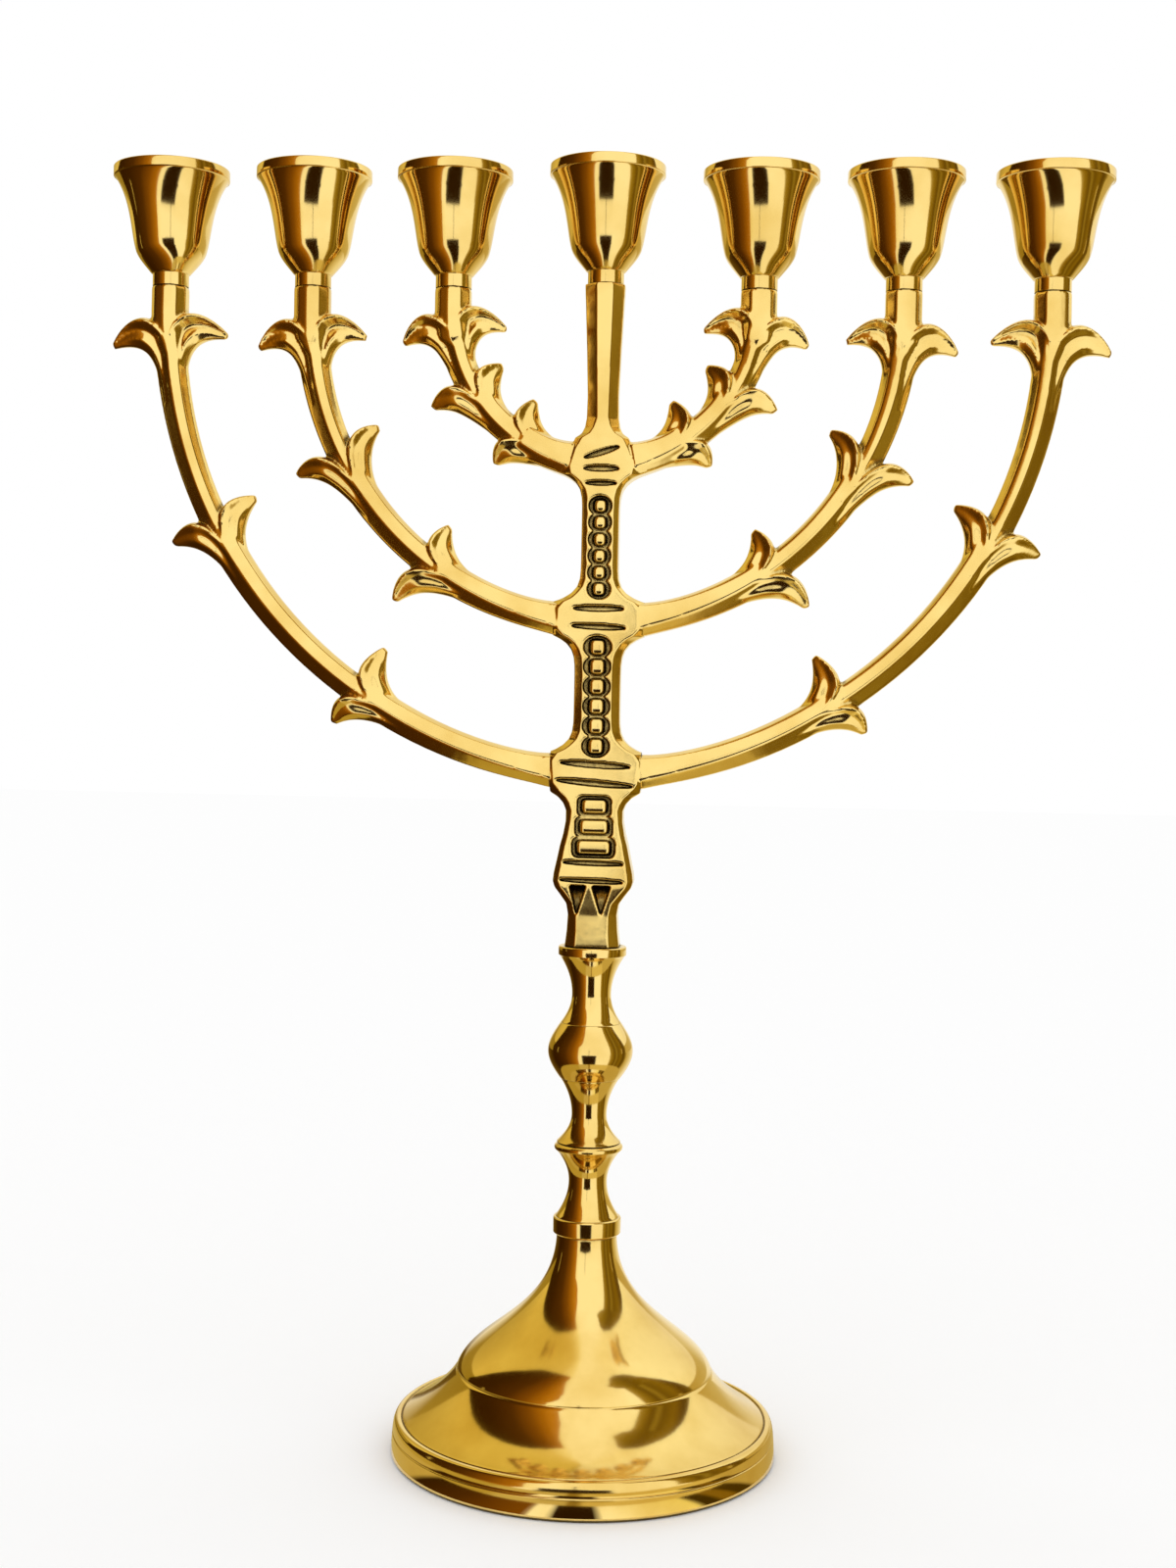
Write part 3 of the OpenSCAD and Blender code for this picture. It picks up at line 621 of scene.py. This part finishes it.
def gouge(z, half_x, half_z, floor, boxy, turned=0.0):
    """A flat-floored hollow, front and back, its floor so far from the middle of the casting."""
    tool_half = 0.003
    for way in (1, -1):
        if boxy:
            made = bmesh.ops.create_cube(carving, size=2)["verts"]
            bmesh.ops.scale(carving, verts=made, vec=(half_x / 1000, tool_half, half_z / 1000))
            sides = [e for e in {e for v in made for e in v.link_edges}
                     if abs(e.verts[0].co.y - e.verts[1].co.y) > 0.001]
            grown = bmesh.ops.bevel(carving, geom=sides, offset=0.0016, affect='EDGES',
                                    segments=3, profile=0.5, material=-1)["verts"]
            made = list({v for f in carving.faces if f.is_valid for v in f.verts
                         if v in made or v in grown})
        else:
            made = bmesh.ops.create_cone(carving, cap_ends=True, segments=20, radius1=1, radius2=1,
                                         depth=2 * tool_half)["verts"]
            bmesh.ops.rotate(carving, verts=made, cent=(0, 0, 0),
                             matrix=Matrix.Rotation(math.pi / 2, 3, 'X'))
            bmesh.ops.scale(carving, verts=made, vec=(half_x / 1000, 1, half_z / 1000))
        bmesh.ops.rotate(carving, verts=made, cent=(0, 0, 0),
                         matrix=Matrix.Rotation(math.radians(turned), 3, 'Y'))
        bmesh.ops.translate(carving, verts=made,
                            vec=(0, way * (floor / 1000 + tool_half), (foot_z + z) / 1000))


# beads and bars: height, half width, half height, room at their sides, and if boxed in
beads = [(z, 2.1, 2.1, 1.75, False) for z in (55.1, 60.6, 66.0, 71.4, 76.8, 82.1)]
beads += [(z, 1.75, 1.75, 1.45, False) for z in (97.9, 102.4, 106.9, 111.4, 116.0, 120.5)]
beads += [(38.7, 3.5, 1.95, 1.2, True), (33.1, 4.0, 1.95, 1.2, True), (27.5, 4.7, 1.95, 1.2, True)]
hollow_depth, groove_depth = 1.6, 1.2
for z, half_x, half_z, room, boxy in beads:
    room_above = 0.95 if boxy else 1.05
    gouge(z, half_x + room, half_z + room_above, look_up(z, depths) - hollow_depth, boxy)
# grooves: height, half length, half width and slant in degrees
for z, half, thin, turned in ((50.0, 10.0, 0.9, 3), (44.9, 11.2, 0.8, 4), (92.6, 7.4, 0.8, 0),
                              (87.6, 8.0, 0.75, 2), (135.0, 5.2, 0.8, -18), (130.6, 5.0, 0.85, 0),
                              (126.6, 4.4, 0.65, 0), (23.2, 9.0, 0.7, 1), (18.3, 9.6, 0.65, 1.5)):
    gouge(z, half, thin, look_up(z, depths) - groove_depth, False, turned)
# the gaps between the petals: wedges that go deepest at their top
petal_top, petal_foot = 17.2, 8.4
half_way = (petal_top + petal_foot) / 2
face_y, deep_y, shallow_y = 0.0095, 0.0012, 0.0058
for left, right, foot_x in ((-6.4, -1.7, -4.3), (-0.3, 5.0, 2.4)):
    for way in (1, -1):
        corners = [(left, petal_top), (right, petal_top), (foot_x, petal_foot)]
        mouth = carving.faces.new([carving.verts.new((x / 1000, way * face_y, (foot_z + z) / 1000))
                                   for x, z in corners])
        for part in bmesh.ops.extrude_face_region(carving, geom=[mouth])["geom"]:
            if isinstance(part, bmesh.types.BMVert):
                part.co.y = way * (deep_y if part.co.z * 1000 - foot_z > half_way else shallow_y)
bmesh.ops.recalc_face_normals(carving, faces=carving.faces)
bmesh.ops.recalc_face_normals(stem, faces=stem.faces)


def carved(body, tools):
    """Takes the tools' shapes out of the body."""
    body, tools = blank(body), blank(tools)
    cut = body.modifiers.new("cut", 'BOOLEAN')
    cut.operation, cut.solver, cut.object, cut.use_self = 'DIFFERENCE', 'EXACT', tools, True
    result = worked(body)
    bpy.data.objects.remove(tools)
    return result


stem = carved(stem, carving)
bead_deep, bead_sunk = 2.2, 2.25
for z, half_x, half_z, *_ in beads:
    for way in (1, -1):
        made = bmesh.ops.create_cube(stem, size=2)["verts"]
        bmesh.ops.scale(stem, verts=made, vec=(half_x / 1000, bead_deep / 1000, half_z / 1000))
        bead_y = way * (look_up(z, depths) - bead_sunk) / 1000
        bmesh.ops.translate(stem, verts=made, vec=(0, bead_y, (foot_z + z) / 1000))
        edges = list({e for v in made for e in v.link_edges})
        bmesh.ops.bevel(stem, geom=edges, offset=0.0011, affect='EDGES', segments=3, profile=0.5,
                        material=-1)
for arm, pairs in zip(arms, leaf_pairs):
    for side in (1, -1):
        cast_arm(stem, arm, pairs, side)
for side in (1, -1):
    cut_across(stem, side * (saw_x + spare), -side)
stem = fused(stem, voxel=0.28, strokes=6, keep=0.57)
for side in (1, -1):
    cut_across(stem, side * saw_x, -side)
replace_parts(finish_piece("cast_stem", stem, "head", cast_brass), "head_stem")


# ---- Steel rod, studs, washer and nut -------------------------------------------------
# Plain zinc-coated steel: the rod that holds the stand together, its washer and nut under
# the base, and the studs that the head and the cups screw on to.
fixing_steel = bpy.data.materials.new("fixing_steel")
fixing_steel.use_nodes = True
steel = fixing_steel.node_tree.nodes["Principled BSDF"]
steel.inputs["Base Color"].default_value = (0.46, 0.47, 0.49, 1)
steel.inputs["Metallic"].default_value = 1.0
steel.inputs["Roughness"].default_value = 0.32
cup_studs = [f"cup_stud_{n}" for n in range(1, 8)]
for name in ["tie_rod", "base_washer", "base_nut", "head_stud"] + cup_studs:
    fixing = frame["nodes"][name]
    fixing.data.materials.clear()
    fixing.data.materials.append(fixing_steel)


# ---- Room and table -------------------------------------------------------------------
# A plain white table in even white light. The brass mirrors a room of glowing cloths that
# only it sees: mustard wall and brown curtain on the left, daylight behind the camera,
# olive curtain on the right, a dark shape below the camera, and more cloths on the table.
world = bpy.data.worlds.new("pale_room")
bpy.context.scene.world = world
world.use_nodes = True
world.node_tree.nodes["Background"].inputs["Color"].default_value = (1, 1, 1, 1)
world.node_tree.nodes["Background"].inputs["Strength"].default_value = 1.0

bm = bmesh.new()
bmesh.ops.create_grid(bm, x_segments=1, y_segments=1, size=4.0)
floor_mesh = bpy.data.meshes.new("table")
bm.to_mesh(floor_mesh)
bm.free()
table = bpy.data.objects.new("table", floor_mesh)
bpy.context.scene.collection.objects.link(table)
white_paint = bpy.data.materials.new("white_paint")
white_paint.use_nodes = True
paint = white_paint.node_tree.nodes["Principled BSDF"]
paint.inputs["Base Color"].default_value = (0.985, 0.985, 0.985, 1)
paint.inputs["Roughness"].default_value = 1.0
paint.inputs["Specular IOR Level"].default_value = 0.0
floor_mesh.materials.append(white_paint)


def glowing(name, bm, bands):
    """Makes a cloth that glows in upright bands of colour and that only polished metal sees.

    Each band is an angle from straight behind the camera (minus is left) and its colour.
    """
    mesh = bpy.data.meshes.new(name)
    bm.to_mesh(mesh)
    bm.free()
    cloth = bpy.data.materials.new(name)
    cloth.use_nodes = True
    nodes, links = cloth.node_tree.nodes, cloth.node_tree.links
    shader = nodes["Principled BSDF"]
    place = nodes.new("ShaderNodeTexCoord")
    turned = nodes.new("ShaderNodeMapping")
    turned.inputs["Rotation"].default_value = (0, 0, math.radians(90))
    around = nodes.new("ShaderNodeTexGradient")
    around.gradient_type = 'RADIAL'
    ramp = nodes.new("ShaderNodeValToRGB")
    stops = ramp.color_ramp.elements
    stops.remove(stops[1])
    for number, (angle, colour) in enumerate(bands):
        part_way = 0.5 + angle / 360
        stop = stops[0] if number == 0 else stops.new(part_way)
        stop.position = part_way
        stop.color = (*colour, 1)
    links.new(place.outputs["Object"], turned.inputs["Vector"])
    links.new(turned.outputs["Vector"], around.inputs["Vector"])
    links.new(around.outputs["Fac"], ramp.inputs["Fac"])
    links.new(ramp.outputs["Color"], shader.inputs["Emission Color"])
    shader.inputs["Emission Strength"].default_value = 1.25
    shader.inputs["Base Color"].default_value = (0, 0, 0, 1)
    shader.inputs["Specular IOR Level"].default_value = 0.0
    mesh.materials.append(cloth)
    obj = bpy.data.objects.new(name, mesh)
    bpy.context.scene.collection.objects.link(obj)
    obj.visible_camera = obj.visible_diffuse = obj.visible_shadow = False


def dome(name, radius, edges, bands, rows=16):
    """Part of a dome round the base; the edges give its lowest and highest point at each angle."""
    bm = bmesh.new()
    middle_z, column_width = 0.03, 3
    lows, highs = [(a, low) for a, low, high in edges], [(a, high) for a, low, high in edges]
    first, last = edges[0][0], edges[-1][0]
    columns = max(2, round((last - first) / column_width))
    before = None
    for i in range(columns + 1):
        angle = first + (last - first) * i / columns
        a = math.radians(angle)
        low, high = look_up(angle, lows), look_up(angle, highs)
        column = []
        for j in range(rows + 1):
            up = math.radians(low + (high - low) * j / rows)
            column.append(bm.verts.new((radius * math.cos(up) * math.sin(a),
                                        -radius * math.cos(up) * math.cos(a),
                                        middle_z + radius * math.sin(up))))
        if before:
            for j in range(rows):
                bm.faces.new((before[j], column[j], column[j + 1], before[j + 1]))
        before = column
    glowing(name, bm, bands)


def ring_cloth(name, inner, outer, bands):
    """A flat ring laid on the table round the base."""
    bm = bmesh.new()
    ends = [bm.verts.new((0, -radius, 0.001)) for radius in (inner, outer)]
    edge = bm.edges.new(ends)
    bmesh.ops.spin(bm, geom=ends + [edge], cent=(0, 0, 0), axis=(0, 0, 1), angle=2 * math.pi,
                   steps=120, use_merge=True)
    glowing(name, bm, bands)


pale, mustard, dim_mustard = (0.76, 0.74, 0.66), (0.60, 0.49, 0.16), (0.40, 0.31, 0.08)
daylight, warm_gold, black = (0.90, 0.91, 0.96), (0.46, 0.37, 0.14), (0.02, 0.008, 0.0)
sand, straw, ochre = (0.5, 0.42, 0.2), (0.6, 0.5, 0.22), (0.26, 0.18, 0.04)
russet, umber, bronze = (0.42, 0.19, 0.012), (0.05, 0.03, 0.0), (0.2, 0.12, 0.01)
coffee, olive, dark_olive = (0.06, 0.035, 0.0), (0.20, 0.13, 0.008), (0.13, 0.08, 0.004)
brown_bands = [(-112, (0.028, 0.010, 0.0)), (-92, (0.035, 0.013, 0.0)),
               (-68, (0.065, 0.024, 0.001)), (-50, (0.17, 0.065, 0.002)),
               (-38, (0.31, 0.13, 0.005)), (-30, russet)]
olive_bands = [(58, (0.45, 0.36, 0.14)), (62, (0.27, 0.19, 0.02)), (68, olive),
               (74, (0.11, 0.065, 0.003)), (79, (0.26, 0.19, 0.03)), (84, dark_olive),
               (95, olive), (104, (0.09, 0.05, 0.002)), (111, (0.16, 0.11, 0.01))]
# the room and, in front of its walls, what hangs ever closer to the menorah
room_r, low_wall_r, curtain_r, fold_r, gap_r = 1.6, 1.5, 1.45, 1.44, 1.4
hem, zenith = -14, 89.9
dome("room", room_r, [(-180, hem, zenith), (180, hem, zenith)],
     [(-180, pale), (-160, pale), (-148, dim_mustard), (-120, mustard), (-95, mustard),
      (-60, (0.66, 0.55, 0.24)), (-32, (0.84, 0.80, 0.62)), (-20, daylight), (57, daylight),
      (80, (0.86, 0.84, 0.76)), (108, (0.88, 0.90, 0.92)), (150, (0.74, 0.72, 0.66)),
      (165, pale), (180, pale)], rows=40)
# the lower half of the walls behind the menorah, which is darker
dome("low_wall", low_wall_r, [(108, hem, 15), (252, hem, 15)],
     [(-180, pale), (-160, pale), (-148, (0.30, 0.22, 0.04)), (-112, (0.27, 0.20, 0.03)),
      (108, warm_gold), (150, sand), (165, pale), (180, pale)])
# a brown curtain on the left, with a fold, and an olive one on the right, with a valance
dome("brown_curtain", curtain_r,
     [(-119, hem, 8), (-114, hem, 16), (-110, hem, 26), (-106, hem, 38), (-100, hem, 49),
      (-92, hem, 58), (-84, hem, 65), (-75, hem, 69), (-60, hem, 73), (-45, hem, 75),
      (-29.5, hem, 76)], brown_bands)
dome("brown_fold", fold_r, [(-30, 28, 70), (-25, 33, 63), (-21, 41, 55)],
     [(-31, russet), (-20, (0.45, 0.21, 0.014))])
dome("olive_curtain", curtain_r,
     [(59, hem, 60), (66, hem, 65), (78, hem, 66), (88, hem, 62), (96, hem, 54), (103, hem, 43),
      (109, hem, 28), (113, hem, 10)], olive_bands)
dome("olive_valance", fold_r,
     [(43, 64, 65), (50, 60, 68), (58, 57, 71), (70, 54, 71), (84, 52, 66), (92, 50, 58)],
     [(43, (0.34, 0.25, 0.05)), (60, (0.22, 0.15, 0.01)), (76, dark_olive), (92, olive)])
# a bright gap in each curtain
dome("left_gap", gap_r, [(-96, hem, 13), (-94, hem, 13)], [(-180, warm_gold), (180, warm_gold)])
dome("right_gap", gap_r, [(96, hem, 13), (99, hem, 13)], [(-180, warm_gold), (180, warm_gold)])
# the dark shape below the camera, with a thin upright part
bm = bmesh.new()
away, pole_top = 0.56, 0.30
bm.faces.new([bm.verts.new((x, -away, z)) for x, z in (
    (-0.21, -0.3), (0.21, -0.3), (0.2, 0.05), (0.08, 0.062), (0.03, 0.068), (0.004, 0.074),
    (0.004, pole_top), (-0.007, pole_top), (-0.007, 0.074), (-0.03, 0.068), (-0.08, 0.062),
    (-0.2, 0.05))])
glowing("dark_shape", bm, [(-180, black), (180, black)])
# what lies on the table: close to the rim, round it, and out to the walls
rim_edge, close_edge, middle_edge = 0.0538, 0.076, 0.135
ring_cloth("close_ring", rim_edge, close_edge,
           [(-180, pale), (-110, warm_gold), (-58, warm_gold), (-54, (0.03, 0.012, 0.0)),
            (-36, (0.06, 0.022, 0.001)), (-13, (0.17, 0.065, 0.002)), (-11.5, daylight),
            (-6, daylight), (-5, black), (8, black), (9, daylight), (39, (0.8, 0.75, 0.4)),
            (41.5, umber), (47, umber), (49, bronze), (54, bronze), (56, coffee), (62, coffee),
            (65, warm_gold), (110, warm_gold), (180, pale)])
ring_cloth("middle_ring", close_edge, middle_edge,
           [(-180, pale), (-140, dim_mustard), (-36, dim_mustard), (-30, sand), (-16, sand),
            (-3, sand), (-2, ochre), (2.5, ochre), (3.5, straw), (60, straw), (64, warm_gold),
            (135, warm_gold), (155, pale), (180, pale)])
ring_cloth("wide_ring", middle_edge, room_r,
           [(-180, pale), (-165, pale), (-152, (0.12, 0.07, 0.008))] + brown_bands
           + [(-29, daylight), (-19, daylight), (-18, black), (18, black), (19, daylight),
              (57, daylight)]
           + olive_bands + [(118, warm_gold), (150, pale), (180, pale)])
